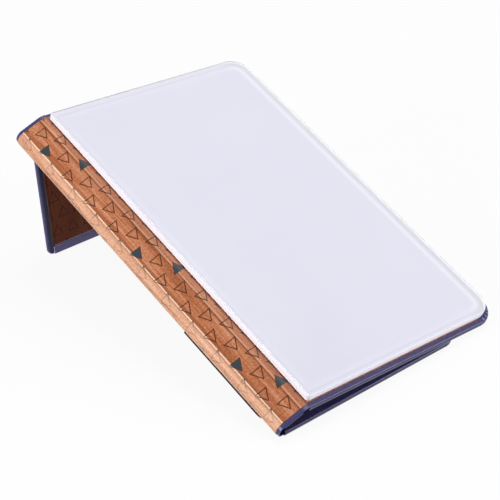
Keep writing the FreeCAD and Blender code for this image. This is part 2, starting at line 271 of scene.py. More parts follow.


# White enamel screen-printed on the back of the glass: dense and a little cool. Its rim is painted with light: a
# painted highlight at the edge, then painted grey shade, and a paler painted band inside that, brighter still at
# the free side.
enamel = {
    "body": "#DFDEED", "uneven": "#E5E4F2", "cloud": 40.0, "roughness": 0.5,
    # painted highlight, painted grey shade and a paler painted band across the rim
    "rim": (                       # distance from the rim, colour
        (0.0, "#ECEBF4"), (0.5, "#ECEBF4"), (1.0, "#E3E2EE"), (2.2, "#E6E4F1"), (2.9, "#DCDAE9"),
        (4.0, "#E6E5F3"), (8.0, "#E2E1F0"),
    ),
    # the free side's brighter painted highlight and painted shade
    "freeRimPaintedLight": (
        (0.0, "#FCFCFF"), (0.5, "#FCFCFF"), (1.0, "#D6D6DF"), (2.8, "#DADAE4"), (5.0, "#F0EEFA"),
        (8.0, "#E2E1F0"),
    ),
    "freeFrom": 16.0, "freeBy": 6.0,   # one rim gives way to the other here, from the free side
    "fadeFrom": 0.7,                   # share of the rim's width
}


def makeEnamel():
    material, tree, shader = newMaterial("whiteEnamel")
    place = addNode(tree, "TexCoord").outputs["Object"]
    uneven = addNode(tree, "TexNoise", {"Vector": place, "Scale": 1 / (enamel["cloud"] * mm), "Detail": 2.0})
    body = addNode(tree, "Mix", {0: uneven, 6: toLinear(enamel["body"]), 7: toLinear(enamel["uneven"])},
                   data_type="RGBA")
    # distance from the rim, in mm, round the two large corners too
    width, length, corner = case["glass"][0], case["glass"][1], pane["freeCorner"]
    flat = addNode(tree, "UVMap", uv_map="flat")
    sheet = addNode(tree, "VectorMath", {0: flat, "Scale": uvUnit}, operation="SCALE")
    split = addNode(tree, "SeparateXYZ", (sheet,))
    beyond = addNode(tree, "Math", (split.outputs[0], width - corner), operation="SUBTRACT")
    beyond = addNode(tree, "Math", (beyond, 0.0), operation="MAXIMUM")
    past = addNode(tree, "Math", (split.outputs[1], length / 2), operation="SUBTRACT")
    past = addNode(tree, "Math", (past,), operation="ABSOLUTE")
    past = addNode(tree, "Math", (past, length / 2 - corner), operation="SUBTRACT")
    past = addNode(tree, "Math", (past, 0.0), operation="MAXIMUM")
    both = addNode(tree, "CombineXYZ", (beyond, past))
    reach = addNode(tree, "VectorMath", (both,), operation="LENGTH").outputs["Value"]
    inside = addNode(tree, "Math", (corner, reach), operation="SUBTRACT")
    inside = addNode(tree, "Math", (inside, split.outputs[0]), operation="MINIMUM")
    rimWidth = enamel["rim"][-1][0]
    share = addNode(tree, "Math", (inside, rimWidth), operation="DIVIDE")
    # ramps of painted rim light, the second for the free side
    paintedRims = []
    for side in ("rim", "freeRimPaintedLight"):
        ramp = addNode(tree, "ValToRGB", (share,))
        stops = ramp.color_ramp.elements
        stops[1].position = 1.0
        for distance, code in enamel[side][1:-1]:
            stops.new(distance / rimWidth).color = toLinear(code)
        stops[0].color = toLinear(enamel[side][0][1])
        stops[len(stops) - 1].color = toLinear(enamel[side][-1][1])
        paintedRims.append(ramp)
    free = addNode(tree, "MapRange", {0: split.outputs[0], 1: width - enamel["freeFrom"],
                                      2: width - enamel["freeBy"]})
    rim = addNode(tree, "Mix", {0: free, 6: paintedRims[0], 7: paintedRims[1]}, data_type="RGBA").outputs[2]
    fade = addNode(tree, "MapRange", {0: share, 1: enamel["fadeFrom"], 2: 1.0})
    colour = addNode(tree, "Mix", {0: fade, 6: rim, 7: body.outputs[2]}, data_type="RGBA")
    tree.links.new(colour.outputs[2], shader.inputs["Base Color"])
    shader.inputs["Roughness"].default_value = enamel["roughness"]
    return material


# Polyurethane leatherette: embossed pebble grain with a soft violet sheen, paler on the tops of the pebbles.
# A paler copy, on the foot pad and the corner pleats, is a painted highlight, and a nearly black copy, on the
# leg's edges, is painted shade.
leatherette = {
    "plain": ("#47436F", "#242148"),      # pale and dark
    # painted highlight: a paler lit copy
    "paintedLit": ("#9791C4", "#7E78B0"),
    # painted shade: a nearly black copy
    "paintedShade": ("#191730", "#0E0C1C"),
    "sheen": "#D4D1F8", "roughness": (0.27, 0.4),
    "pebble": 1.1, "pebbleShare": 0.8, "bump": 0.2,
    "cloud": 9.0, "cloudShare": 0.4,
}


def makeLeatherette(name, pale, dark):
    material, tree, shader = newMaterial(name)
    place = addNode(tree, "TexCoord").outputs["Object"]
    pebbles = addNode(tree, "TexVoronoi", {"Vector": place, "Scale": 1 / (leatherette["pebble"] * mm)},
                      feature="SMOOTH_F1")
    cloud = addNode(tree, "TexNoise", {"Vector": place, "Scale": 1 / (leatherette["cloud"] * mm),
                                       "Detail": 3.0})
    mixed = addNode(tree, "Math", (cloud, leatherette["cloudShare"]), operation="MULTIPLY")
    mixed = addNode(tree, "Math", (pebbles, leatherette["pebbleShare"], mixed), operation="MULTIPLY_ADD")
    colour = addNode(tree, "Mix", {0: mixed, 6: toLinear(pale), 7: toLinear(dark)}, data_type="RGBA")
    tree.links.new(colour.outputs[2], shader.inputs["Base Color"])
    smooth, dull = leatherette["roughness"]
    roughness = addNode(tree, "MapRange", {0: cloud, 3: smooth, 4: dull})
    tree.links.new(roughness.outputs[0], shader.inputs["Roughness"])
    bump = addNode(tree, "Bump", {"Strength": leatherette["bump"], "Distance": 0.1 * mm, "Height": pebbles},
                   invert=True)
    tree.links.new(bump.outputs[0], shader.inputs["Normal"])
    shader.inputs["Specular Tint"].default_value = toLinear(leatherette["sheen"])
    return material


# Lining paper: offset print of copper wood grain under a satin varnish, with rows of small triangles.
lining = {
    "grain": ((0.4, "#71391F"), (0.56, "#AF6944"), (0.74, "#D49B7C")),
    "ink": "#3E1D12", "inkShare": 0.9, "slate": "#343D43",
    "streak": (0.7, 34.0), "figure": (5.0, 70.0),   # grain width and length
    "fleck": 1.1,
    "streakShare": 0.42, "figureShare": 0.45, "fleckShare": 0.28,
    "columnGap": 4.85, "rowGap": 19.1,              # triangle rows, staggered by half a gap
    "firstColumn": 2.6, "firstRow": 15.4,
    "halfBase": 3.05, "top": 1.9, "tip": 3.7,       # triangle about its centre
    "line": 0.55, "filledEvery": 4.0,
    # painted highlight round the curl: its colour and share
    "pale": "#EEC4A6", "curlHighlightShare": 0.37,            # round the curl
    # painted shade over the leg's sheet
    "legPaintedShade": "#742006", "legPaintedShadeShare": 0.55,
    "legSheet": 64.0,                               # from the leg's cut end, a little more than its lining
    # a thin pale line along the leg lining's cut edges
    "core": "#F0E8E2", "coreLine": 0.5, "paleFootEdge": 0.8, "paleSideEdge": 0.6,
    "roughness": (0.3, 0.46),
    # painted shadow beside the glass, painted shade in the crease and beside the ridge, and painted highlights
    # next to them
    "paintedShadeAndHighlight": (                                       # place across, half width, strength, colour
        (0.2, 0.8, 0.45, "#71391F"),
        (jointDeveloped, 0.35, 0.75, "#71391F"),
        (jointDeveloped - 0.95, 0.45, 0.4, "#EBC3A8"),
        (ridgeDeveloped - 1.3, 0.7, 0.5, "#71391F"),
        (ridgeDeveloped - 0.05, 0.35, 0.85, "#FFE3C8"),
        (ridgeDeveloped + 0.9, 0.4, 0.2, "#A8623E"),
    ),
}
legPrintShift = 2 * lining["rowGap"]   # the leg's own sheet is moved on by whole rows


# Place about the nearest triangle of one set of columns, whether it is filled, and which way up it is.
def triangleField(tree, across, along, firstColumn, firstRow):
    gap = 2 * lining["columnGap"]
    cells = []
    for place, first, size in ((across, firstColumn, gap), (along, firstRow, lining["rowGap"])):
        moved = addNode(tree, "Math", (place, first), operation="SUBTRACT")
        scaled = addNode(tree, "Math", (moved, size), operation="DIVIDE")
        index = addNode(tree, "Math", (scaled,), operation="ROUND")
        inside = addNode(tree, "Math", (scaled, index), operation="SUBTRACT")
        cells.append((index, addNode(tree, "Math", (inside, size), operation="MULTIPLY")))
    (column, x), (row, y) = cells
    turn = addNode(tree, "Math", (row, column), operation="SUBTRACT")
    turn = addNode(tree, "Math", (turn, lining["filledEvery"]), operation="FLOORED_MODULO")
    filled = addNode(tree, "Math", (turn, 0.5), operation="LESS_THAN")
    pair = addNode(tree, "Math", (column, 2.0), operation="FLOORED_MODULO")
    even = addNode(tree, "Math", (pair, 0.5), operation="LESS_THAN")
    flipped = addNode(tree, "Math", (filled, even), operation="MULTIPLY")
    sign = addNode(tree, "Math", (flipped, -2.0, 1.0), operation="MULTIPLY_ADD")
    return x, y, filled, sign


# How far inside the triangle's outline a point lies.
def triangleDistance(tree, x, y):
    height = lining["top"] + lining["tip"]
    slant = math.hypot(lining["halfBase"], height)
    below = addNode(tree, "Math", (lining["top"], y), operation="SUBTRACT")
    side = addNode(tree, "Math", (x,), operation="ABSOLUTE")
    side = addNode(tree, "Math", (side, -height / slant), operation="MULTIPLY")
    up = addNode(tree, "Math", (y, lining["tip"]), operation="ADD")
    edge = addNode(tree, "Math", (up, lining["halfBase"] / slant, side), operation="MULTIPLY_ADD")
    return addNode(tree, "Math", (below, edge), operation="MINIMUM")


def makeLining():
    material, tree, shader = newMaterial("woodgrainLiningPaper")
    unrolled = addNode(tree, "UVMap", uv_map="unrolled")
    sheet = addNode(tree, "VectorMath", {0: unrolled, "Scale": uvUnit}, operation="SCALE")
    split = addNode(tree, "SeparateXYZ", (sheet,))
    across, along = split.outputs[0], split.outputs[1]
    layers = []
    for width, length in (lining["streak"], lining["figure"]):
        stretched = addNode(tree, "Mapping", {0: sheet, "Scale": (1 / width, 1 / length, 1)})
        layers.append(addNode(tree, "TexNoise", {"Vector": stretched, "Scale": 1.0, "Detail": 4.0,
                                                 "Roughness": 0.6, "Distortion": 0.4}))
    streaks, figure = layers
    flecks = addNode(tree, "TexNoise", {"Vector": sheet, "Scale": 1 / lining["fleck"], "Detail": 3.0})
    grain = addNode(tree, "Math", (streaks, lining["streakShare"]), operation="MULTIPLY")
    grain = addNode(tree, "Math", (figure, lining["figureShare"], grain), operation="MULTIPLY_ADD")
    grain = addNode(tree, "Math", (flecks, lining["fleckShare"], grain), operation="MULTIPLY_ADD")
    ramp = addNode(tree, "ValToRGB", (grain,))
    deep, middle, light = lining["grain"]
    stops = ramp.color_ramp.elements
    for stop, (position, code) in zip(stops, (deep, light)):
        stop.position = position
        stop.color = toLinear(code)
    stops.new(middle[0]).color = toLinear(middle[1])
    colour = ramp.outputs[0]
    # painted shadow beside the glass, painted shade in the crease and beside the ridge, and painted highlight
    # lines beside them, uneven along their length
    unevenAlong = addNode(tree, "MapRange", {0: figure, 1: 0.35, 2: 0.65, 3: 0.8, 4: 1.05})
    for place, half, strength, code in lining["paintedShadeAndHighlight"]:
        away = addNode(tree, "Math", (across, place), operation="SUBTRACT")
        away = addNode(tree, "Math", (away,), operation="ABSOLUTE")
        paintedLine = addNode(tree, "MapRange", {0: away, 1: 0.3 * half, 2: 1.3 * half, 3: strength, 4: 0.0})
        paintedLine = addNode(tree, "Math", (paintedLine, unevenAlong), operation="MULTIPLY")
        colour = addNode(tree, "Mix", {0: paintedLine, 6: colour, 7: toLinear(code)}, data_type="RGBA").outputs[2]
    # two sets of columns, the second half a gap along, and filled triangles in the first
    starts = ((lining["firstColumn"], lining["firstRow"], True),
              (lining["firstColumn"] + lining["columnGap"], lining["firstRow"] - lining["rowGap"] / 2, False))
    for firstColumn, firstRow, hasFilled in starts:
        x, y, filled, sign = triangleField(tree, across, along, firstColumn, firstRow)
        if hasFilled:
            y = addNode(tree, "Math", (y, sign), operation="MULTIPLY")
        distance = triangleDistance(tree, x, y)
        depth = addNode(tree, "Math", (distance,), operation="ABSOLUTE")
        outline = addNode(tree, "Math", (depth, lining["line"] / 2), operation="LESS_THAN")
        outline = addNode(tree, "Math", (outline, lining["inkShare"]), operation="MULTIPLY")
        colour = addNode(tree, "Mix", {0: outline, 6: colour, 7: toLinear(lining["ink"])},
                         data_type="RGBA").outputs[2]
        if hasFilled:
            within = addNode(tree, "Math", (distance, 0.0), operation="GREATER_THAN")
            fill = addNode(tree, "Math", (within, filled), operation="MULTIPLY")
            colour = addNode(tree, "Mix", {0: fill, 6: colour, 7: toLinear(lining["slate"])},
                             data_type="RGBA").outputs[2]
    # painted highlight over the print round the curl, in streaks
    onto = addNode(tree, "MapRange", {0: across, 1: ridgeDeveloped - 0.3, 2: ridgeDeveloped + 0.6})
    off = addNode(tree, "MapRange", {0: across, 1: coverDeveloped - 4.0, 2: coverDeveloped, 3: 1.0, 4: 0.0})
    curlHighlight = addNode(tree, "Math", (onto.outputs[0], off.outputs[0]), operation="MULTIPLY")
    streaky = addNode(tree, "MapRange", {0: grain, 1: 0.45, 2: 0.7, 3: 0.4, 4: 1.7})
    curlHighlight = addNode(tree, "Math", (curlHighlight, streaky), operation="MULTIPLY")
    curlHighlight = addNode(tree, "Math", (curlHighlight, lining["curlHighlightShare"]), operation="MULTIPLY")
    colour = addNode(tree, "Mix", {0: curlHighlight, 6: colour, 7: toLinear(lining["pale"])},
                     data_type="RGBA").outputs[2]
    # painted shade darkens the leg's sheet, and a thin pale line runs along its cut edges
    cutEnd = footDeveloped + legPrintShift
    legFirst = cutEnd - lining["legSheet"]
    legShade = addNode(tree, "MapRange", {0: along, 1: legFirst - 2.0, 2: legFirst, 4: lining["legPaintedShadeShare"]})
    colour = addNode(tree, "Mix", {0: legShade.outputs[0], 6: colour, 7: toLinear(lining["legPaintedShade"])},
                     data_type="RGBA").outputs[2]
    line, crisp = lining["coreLine"], lining["coreLine"] - 0.1
    core = addNode(tree, "MapRange", {0: along, 1: cutEnd - line, 2: cutEnd - crisp, 4: lining["paleFootEdge"]})
    side = addNode(tree, "Math", (across, coverDeveloped + case["coverWidth"] / 2), operation="SUBTRACT")
    side = addNode(tree, "Math", (side,), operation="ABSOLUTE")
    halfSheet = case["coverWidth"] / 2 - case["legMargin"] - case["legBorder"]
    side = addNode(tree, "MapRange", {0: side, 1: halfSheet - line, 2: halfSheet - crisp,
                                      4: lining["paleSideEdge"]})
    onLeg = addNode(tree, "Math", (along, legFirst), operation="GREATER_THAN")
    side = addNode(tree, "Math", (side, onLeg), operation="MULTIPLY")
    core = addNode(tree, "Math", (core, side), operation="MAXIMUM")
    colour = addNode(tree, "Mix", {0: core, 6: colour, 7: toLinear(lining["core"])},
                     data_type="RGBA").outputs[2]
    tree.links.new(colour, shader.inputs["Base Color"])
    smooth, dull = lining["roughness"]
    roughness = addNode(tree, "MapRange", {0: streaks, 3: smooth, 4: dull})
    tree.links.new(roughness.outputs[0], shader.inputs["Roughness"])
    shader.inputs["Specular IOR Level"].default_value = 0.14
    shader.inputs["Coat Weight"].default_value = 0.06
    shader.inputs["Coat Roughness"].default_value = 0.3
    bump = addNode(tree, "Bump", {"Strength": 0.08, "Distance": 0.05 * mm, "Height": streaks})
    tree.links.new(bump.outputs[0], shader.inputs["Normal"])
    return material


# Grey bookbinding board: pressed waste paper, dull and slightly flecked.
def makeGreyboard():
    material, tree, shader = newMaterial("greyboard")
    place = addNode(tree, "TexCoord").outputs["Object"]
    flecks = addNode(tree, "TexNoise", {"Vector": place, "Scale": 1 / (1.5 * mm), "Detail": 4.0})
    colour = addNode(tree, "Mix", {0: flecks, 6: toLinear("#8C8880"), 7: toLinear("#B3AEA4")},
                     data_type="RGBA")
    tree.links.new(colour.outputs[2], shader.inputs["Base Color"])
    shader.inputs["Roughness"].default_value = 0.9
    return material


# Double-sided adhesive sheet: milky acrylic foam.
def makeTape():
    material, tree, shader = newMaterial("adhesiveSheet")
    place = addNode(tree, "TexCoord").outputs["Object"]
    cells = addNode(tree, "TexNoise", {"Vector": place, "Scale": 1 / (0.6 * mm), "Detail": 2.0})
    colour = addNode(tree, "Mix", {0: cells, 6: toLinear("#D2D0CA"), 7: toLinear("#E4E2DD")},
                     data_type="RGBA")
    tree.links.new(colour.outputs[2], shader.inputs["Base Color"])
    shader.inputs["Roughness"].default_value = 0.7
    return material


# Black polyester twill: dull diagonal ribs. A wave repeats every 0.31 / scale, so these are 1.3 mm apart,
# coarser than real ribs so that they show.
def makeFabric():
    material, tree, shader = newMaterial("blackTwill")
    place = addNode(tree, "TexCoord").outputs["Object"]
    turnedPlace = addNode(tree, "Mapping", {0: place, "Rotation": (0.0, 0.0, math.radians(45))})
    yarns = addNode(tree, "TexWave", {"Vector": turnedPlace, "Scale": 1 / (4 * mm), "Distortion": 0.6},
                    wave_type="BANDS", bands_direction="X")
    colour = addNode(tree, "Mix", {0: yarns, 6: toLinear("#060607"), 7: toLinear("#131316")},
                     data_type="RGBA")
    tree.links.new(colour.outputs[2], shader.inputs["Base Color"])
    bump = addNode(tree, "Bump", {"Strength": 0.4, "Distance": 0.1 * mm, "Height": yarns})
    tree.links.new(bump.outputs[0], shader.inputs["Normal"])
    shader.inputs["Roughness"].default_value = 0.75
    shader.inputs["Specular IOR Level"].default_value = 0.2
    return material


materials = {
    "glass": makeGlass("temperedGlass", pane["faceRoughness"]),
    "enamel": makeEnamel(), "adhesive": makeTape(),
    "leatherette": makeLeatherette("navyLeatherette", *leatherette["plain"]),
    # lit and shaded copies of the leatherette: painted highlight and painted shade
    "paintedLit": makeLeatherette("paintedLitLeatherette", *leatherette["paintedLit"]),
    "paintedShade": makeLeatherette("paintedShadeLeatherette", *leatherette["paintedShade"]),
    "lining": makeLining(), "greyboard": makeGreyboard(), "pocket_fabric": makeFabric(),
    "polishedEdge": makeGlass("polishedGlassEdge", pane["edgeRoughness"]),
    "groundEdge": makeGroundEdge("groundGlassEdge", *pane["ground"]),
    # the paler painted-lit copy of the ground edge, beside the spine
    "spineEdgePaintedLit": makeGroundEdge("groundGlassSpineEdgePaintedLit", *pane["spineGroundPaintedLit"]),
}
print("materials made:", ", ".join(materials))


def finishPiece(piece, slot, *stoodFor):
    piece.data.materials.clear()
    piece.data.materials.append(materials[slot])
    if stoodFor:
        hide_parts(*stoodFor)


# CAD nodes whose own shape shows keep it and take the finish of their slot
for part in record["subparts"]:
    node = nodes[part["node"]]
    node.data.materials.clear()
    node.data.materials.append(materials[part["material_slot"]])


# writing glass, and the enamel on its back, which goes a little way into the pane so that no air lies between
def makePane():
    width, length, thick = case["glass"]
    bottom = case["glassTop"] - thick
    for name, slot, node, gap, low, high in (
        ("writingGlass", "glass", "glass_pane", 0.0, bottom, case["glassTop"]),
        ("backEnamel", "enamel", "glass_backing", pane["enamelInset"],
         bottom - pane["enamelThick"], bottom + pane["enamelInto"]),
    ):
        piece = addBlock(name, (gap, gap, low), (width - gap, length - gap, high))
        bevelEdges(piece, lambda a, b: upright(a, b) and a.x > width / 2, pane["freeCorner"] - gap, 16)
        bevelEdges(piece, lambda a, b: upright(a, b) and a.x < width / 4, pane["spineCorner"] - gap, 6)
        if slot == "glass":
            bevelEdges(piece, lambda a, b: min(a.z, b.z) > high - touch, pane["topEdge"], 6)
            bevelEdges(piece, lambda a, b: max(a.z, b.z) < low + touch, pane["bottomEdge"], 4)
        else:
            layOut(piece, "flat", lambda p: (p.x, p.y))
        finishPiece(piece, slot, node)
        if slot == "glass":
            for edge in ("polishedEdge", "groundEdge", "spineEdgePaintedLit"):
                piece.data.materials.append(materials[edge])
            for face in piece.data.polygons:
                if abs(face.normal.z) > 0.99:
                    continue
                below = high - face.center.z / mm
                atFarOrFree = face.normal.x > 0.3 and face.normal.y > -0.75 or face.normal.y > 0.3
                face.material_index = 2 if atFarOrFree and below > pane["groundBelow"] else 1
                # the spine side takes the paler painted-lit copy
                if face.normal.x < -0.6 and below > pane["spineGroundBelow"]:
                    face.material_index = 3
        settle(piece, boardMatrix)
        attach(piece, "board")


makePane()
print("glass made")


# flat sheets of lining, each with a fine groove along the lines where it meets a soft bend
groove = 0.25


def makeSheet(name, node, body, low, high, rounded, radius, creased, matrix, place):
    piece = addBlock(name, (*low, -case["liner"]), (*high, 0))
    if rounded:
        bevelEdges(piece, lambda a, b: upright(a, b) and rounded(a), radius, 10)
    bevelEdges(piece, lambda a, b: min(a.z, b.z) > -touch and creased(a) and creased(b), groove, 3)
    layOut(piece, "unrolled", place)
    settle(piece, matrix)
    finishPiece(piece, "lining", node)
    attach(piece, body)


border = case["border"]
boardLeft = -case["spineMargin"]
boardBorder = case["boardBorder"]
boardRight = case["glass"][0] + case["endMargin"] - boardBorder
sheetNear, sheetFar = nearY + boardBorder, caseLength + nearY - boardBorder
coverWidth, legLength = case["coverWidth"], case["legLength"]
legWidth = coverWidth - 2 * case["legMargin"]
makeSheet("boardLining", "board_liner", "board", (boardLeft, sheetNear), (boardRight, sheetFar),
          lambda a: a.x > 1, case["boardLiningCorner"], lambda a: a.x < boardLeft + touch, boardMatrix,
          lambda p: (boardLeft - p.x, p.y))
makeSheet("spineLining", "spine_liner", "spine", (0, border), (case["spineWidth"], caseLength - border),
          None, 0, lambda a: True, spineMatrix,
          lambda p: (ridgeDeveloped - p.x, p.y + nearY))
makeSheet("coverLining", "cover_liner", "cover", (border, border), (coverWidth, caseLength),
          lambda a: a.x < coverWidth / 2 and a.y < caseLength / 2, case["coverCorner"] - border,
          lambda a: a.x > coverWidth - touch, coverMatrix,
          lambda p: (coverDeveloped + coverWidth - p.x, p.y + nearY))
legBorder, legFootBorder = case["legBorder"], case["legFootBorder"]
makeSheet("legLining", "leg_liner", "leg", (legBorder, 0), (legWidth - legBorder, legLength - legFootBorder),
          lambda a: a.y > 1, case["legLiningCorner"], lambda a: a.y < touch, legMatrix,
          lambda p: (coverDeveloped + coverWidth - case["legMargin"] - p.x,
                     caseLength + nearY + legDeveloped + p.y + legPrintShift))
print("flat linings made")


# soft bends: a line spun about the centre of the bend, drawn in at its ends, then given its thickness
bend = {"rows": 40, "steps": 14, "skinEnd": 0.35, "coverSkinEnd": 1.0}


def bendAngle(point, centre):
    return math.degrees(math.atan2(point.z - centre[1], point.x - centre[0])) % 360


def spinStrip(name, centre, radius, thick, startAngle, sweep, low, high, drawnIn):
    bpy.ops.object.select_all(action="DESELECT")
    bpy.ops.mesh.primitive_grid_add(x_subdivisions=1, y_subdivisions=bend["rows"], size=1)
    piece = bpy.context.object
    piece.name = name
    piece.data.name = name
    bpy.ops.object.mode_set(mode="EDIT")
    bpy.ops.mesh.select_mode(type="VERT")
    bpy.ops.mesh.select_all(action="DESELECT")
    mesh = bmesh.from_edit_mesh(piece.data)
    for vertex in mesh.verts:
        vertex.select_set(vertex.co.x > 0)
    bmesh.update_edit_mesh(piece.data)
    bpy.ops.mesh.delete(type="VERT")
    mesh = bmesh.from_edit_mesh(piece.data)
    x, z = polar(centre, radius, startAngle)
    for vertex in mesh.verts:
        share = vertex.co.y + 0.5
        vertex.co = Vector((x, low + share * (high - low), z)) * mm
    bmesh.update_edit_mesh(piece.data)
    bpy.ops.mesh.select_all(action="SELECT")
    bpy.ops.mesh.spin(steps=bend["steps"], angle=math.radians(sweep), axis=(0, 1, 0),
                      center=(centre[0] * mm, 0, centre[1] * mm))
    bpy.ops.mesh.select_all(action="SELECT")
    bpy.ops.mesh.remove_doubles(threshold=touch * mm)
    mesh = bmesh.from_edit_mesh(piece.data)
    middle, half = (low + high) / 2, (high - low) / 2
    for vertex in mesh.verts:
        share = ((bendAngle(vertex.co / mm, centre) - startAngle) % 360) / sweep
        share = share if share < 1.5 else 0   # a point just short of the start
        inset = drawnIn[0] + (drawnIn[1] - drawnIn[0]) * share
        vertex.co.y = (middle + (vertex.co.y / mm - middle) * (half - inset) / half) * mm
    mesh.normal_update()
    face = next(iter(mesh.faces))
    away = face.calc_center_median() - Vector((centre[0], 0, centre[1])) * mm
    inward = face.normal.x * away.x + face.normal.z * away.z < 0
    bmesh.update_edit_mesh(piece.data)
    if inward:
        bpy.ops.mesh.flip_normals()
    bpy.ops.object.mode_set(mode="OBJECT")
    wall = piece.modifiers.new("wall", "SOLIDIFY")
    wall.thickness = thick * mm
    wall.offset = -1
    bpy.ops.object.modifier_apply(modifier="wall")
    return piece


def makeBend(name, node, bodies, matrix, centre, start, sweep, low, high, layers):
    for layer in layers:
        piece = spinStrip(name + layer["label"], centre, layer["outer"], layer["thick"], start, sweep,
                          low, high, layer["drawnIn"])
        if layer["slot"] == "lining":
            ends = [polar(centre, layer["outer"], angle) for angle in (start, start + sweep)]
            bevelEdges(piece, lambda a, b: any(max(math.hypot(p.x - x, p.z - z) for p in (a, b)) < 0.01
                                               for x, z in ends), groove, 3)
            layOut(piece, "unrolled", layer["place"])
        settle(piece, matrix)
        finishPiece(piece, layer["slot"], node + layer["suffix"])
        if len(bodies) == 1:
            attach(piece, bodies[0])
            continue
        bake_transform(piece)


# name, node, bodies, centre, outer radius, first angle, sweep, place on the unrolled sheet,
# and how far the skin is drawn in at its last line
skinEnd = bend["skinEnd"]
upperStart = 90 + fold
bandStart = upperStart + curlSide
lowerStart = bandStart + case["bandAngle"]
bandDeveloped = ridgeDeveloped + curlRadius * math.radians(curlSide)
lowerDeveloped = ridgeDeveloped + curlRadius * math.radians(curlSide + case["bandAngle"])
for name, node, bodies, centre, radius, start, sweep, developed, lastEnd in (
    ("frontJoint", "front_joint", ("board", "spine"), jointCentre, jointRadius, 90, fold, 0, skinEnd),
    ("upperCurl", "upper_curl", ("spine", "curl_band"), curlCentre, curlRadius, upperStart, curlSide,
     ridgeDeveloped, skinEnd),
    ("middleCurl", "middle_curl", ("curl_band",), curlCentre, curlRadius, bandStart, case["bandAngle"],
     bandDeveloped, skinEnd),
    ("lowerCurl", "lower_curl", ("curl_band", "cover"), curlCentre, curlRadius, lowerStart, curlSide,
     lowerDeveloped, bend["coverSkinEnd"]),
):
    layers = (
        {"label": "Skin", "suffix": "_skin", "slot": "leatherette", "outer": radius - case["liner"],
         "thick": case["wrap"], "drawnIn": (skinEnd, lastEnd)},
        {"label": "Lining", "suffix": "_liner", "slot": "lining", "outer": radius,
         "thick": case["liner"], "drawnIn": (border, border),
         "place": lambda p: (developed + radius * math.radians(bendAngle(p, centre) - start), p.y)},
    )
    makeBend(name, node, bodies, boardMatrix, centre, start, sweep, nearY, nearY + caseLength, layers)

# the leg's bend runs across the cover, lining inside
legTurn = coverMatrix @ turned(90, "Z")
legLow, legHigh = -(case["legMargin"] + legWidth), -case["legMargin"]
legOuter = case["legJointRadius"] + case["liner"]
makeBend("legJoint", "leg_joint", ("cover", "leg"), legTurn, legCentre, 270, legBend, legLow, legHigh, (
    {"label": "Skin", "suffix": "_skin", "slot": "leatherette", "outer": legOuter + case["wrap"],
     "thick": case["wrap"], "drawnIn": (0.0, 0.0)},
    {"label": "Lining", "suffix": "_liner", "slot": "lining", "outer": legOuter,
     "thick": case["liner"], "drawnIn": (legBorder, legBorder),
     "place": lambda p: (
         coverDeveloped + coverWidth + p.y,
         caseLength + nearY + legOuter * math.radians((bendAngle(p, legCentre) - 270) % 360))},
))
print("soft bends made")

# the card's edge stands proud under the lining along the ridge
ridgeBead = {"radius": 0.7, "proud": 0.3, "inset": 0.1, "endRound": 0.15}


def makeRidgeBead():
    length = caseLength - 2 * border
    radius = ridgeBead["radius"]
    middle = Vector((ridgeBead["inset"], caseLength / 2, ridgeBead["proud"] - radius)) * mm
    bpy.ops.object.select_all(action="DESELECT")
    bpy.ops.mesh.primitive_cylinder_add(vertices=24, radius=radius * mm, depth=length * mm, location=middle,
                                        rotation=(math.radians(90), 0, 0))
    piece = bpy.context.object
    piece.name = "ridgeBead"
    bpy.ops.object.transform_apply(location=True, rotation=True, scale=True)
    bevelEdges(piece, lambda a, b: abs(a.y - b.y) < touch, ridgeBead["endRound"], 2)
    layOut(piece, "unrolled", lambda p: (ridgeDeveloped - p.x, p.y + nearY))
    settle(piece, spineMatrix)
    finishPiece(piece, "lining")
    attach(piece, "spine")


makeRidgeBead()

# leatherette edges of the leg beside its lining, and the pad that it stands on; both stay thin enough to fold
# flat on the cover
legEdge = {"height": 0.24, "root": -0.8, "round": 0.2, "inset": 0.55, "start": 0.4, "end": 1.9,
           "pad": 0.7, "padOver": 0.1, "padGap": 0.05, "padInset": 0.25, "padRound": 0.65, "padCorner": 0.6}


def makeLegEdges():
    inset, start, end = legEdge["inset"], legEdge["start"], legLength - legEdge["end"]
    root, height, over = legEdge["root"], legEdge["height"], legEdge["padOver"]
    padLow = (legBorder - over, legLength - legFootBorder + legEdge["padGap"], root)
    padHigh = (legWidth - legBorder + over, legLength - legEdge["padInset"], legEdge["pad"])
    for name, finish, low, high, corner in (
        # the leg's edges are the nearly black painted-shade copy of the leatherette
        ("legEdgeFree", "paintedShade", (inset, start, root), (legBorder, end, height), 0),
        ("legEdgeSpine", "paintedShade", (legWidth - legBorder, start, root), (legWidth - inset, end, height), 0),
        # the pad is the paler painted-lit copy of the leatherette
        ("legFootPad", "paintedLit", padLow, padHigh, legEdge["padCorner"]),
    ):
        piece = addBlock(name, low, high)
        if corner:
            bevelEdges(piece, lambda a, b: upright(a, b) and a.y > legLength - 1, corner, 6)
        rounding = legEdge["padRound"] if corner else legEdge["round"]
        bevelEdges(piece, lambda a, b: min(a.z, b.z) > high[2] - touch, rounding, 6)
        settle(piece, legMatrix)
        finishPiece(piece, "leatherette")
        piece.data.materials[0] = materials[finish]
        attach(piece, "leg")


makeLegEdges()
print("ridge bead and leg edges made")

# leatherette gathered in small pleats round the rounded corners of the board and cover
pleat = {"half": (1.75, 0.62), "depth": 1.65, "drawnIn": 0.3, "drawnFrom": 0.2,
         "boardHeight": (-3.1, 0.25), "coverHeight": (-3.0, -0.2),   # lowest and highest
         "angles": (14, 27, 39, 50, 62, 77)}


